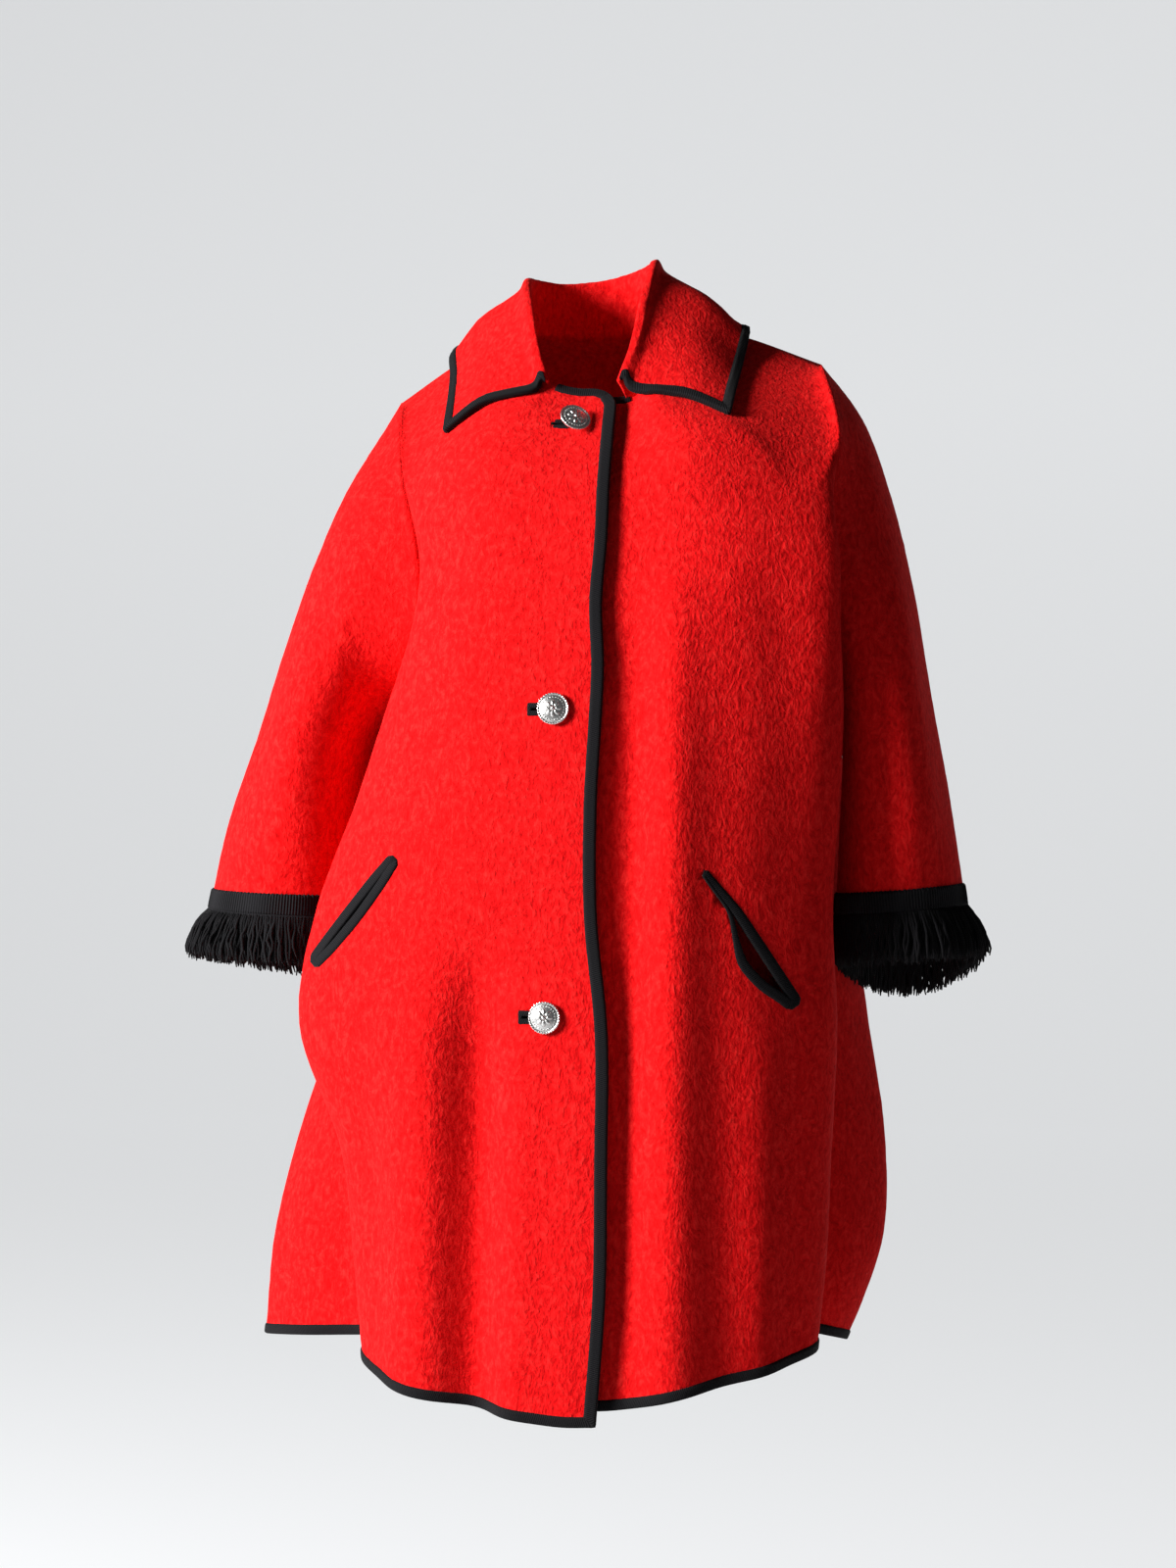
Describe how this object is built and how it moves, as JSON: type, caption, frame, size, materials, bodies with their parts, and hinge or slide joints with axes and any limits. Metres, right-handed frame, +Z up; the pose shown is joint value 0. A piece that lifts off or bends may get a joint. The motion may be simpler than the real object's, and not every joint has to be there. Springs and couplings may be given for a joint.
{
  "type": "cape coat",
  "caption": "Knee-length wool cape coat in worn shape, with a wide turned-down collar, dark bound edges, slanted pockets, domed metal buttons and fringed cuffs.",
  "frame": {"origin": "middle of the neck opening, level with the side neck points, where the coat is held when worn", "axes": "+Z up, -Y out of the front that buttons, +X to the wearer's left"},
  "size_m": [0.731, 0.3845, 1.0371],
  "materials": {
    "wool_cloth": "brushed wool with a short clumped nap, matt red",
    "binding_tape": "ribbed braid folded over the edges, soft black",
    "braid_trim": "flat ribbed braid, soft black",
    "fringe_yarn": "twisted yarn, black with a faint sheen",
    "pocket_cloth": "plain thin cloth, dull red",
    "button_metal": "aged silver, domed with a roped rim"
  },
  "bodies": {
    "root": {"right_front": "wool_cloth", "left_front": "wool_cloth", "back": "wool_cloth", "right_sleeve": "wool_cloth", "left_sleeve": "wool_cloth", "collar": "wool_cloth", "collar_binding": "binding_tape", "right_front_binding": "binding_tape", "left_front_binding": "binding_tape", "back_hem_binding": "binding_tape", "right_pocket_binding": "binding_tape", "right_pocket_bag": "pocket_cloth", "left_pocket_binding": "binding_tape", "left_pocket_bag": "pocket_cloth", "buttonhole_1": "binding_tape", "button_1": "button_metal", "buttonhole_2": "binding_tape", "button_2": "button_metal", "buttonhole_3": "binding_tape", "button_3": "button_metal", "right_cuff_braid": "braid_trim", "right_fringe": "fringe_yarn", "left_cuff_braid": "braid_trim", "left_fringe": "fringe_yarn"}
  },
  "joints": []
}
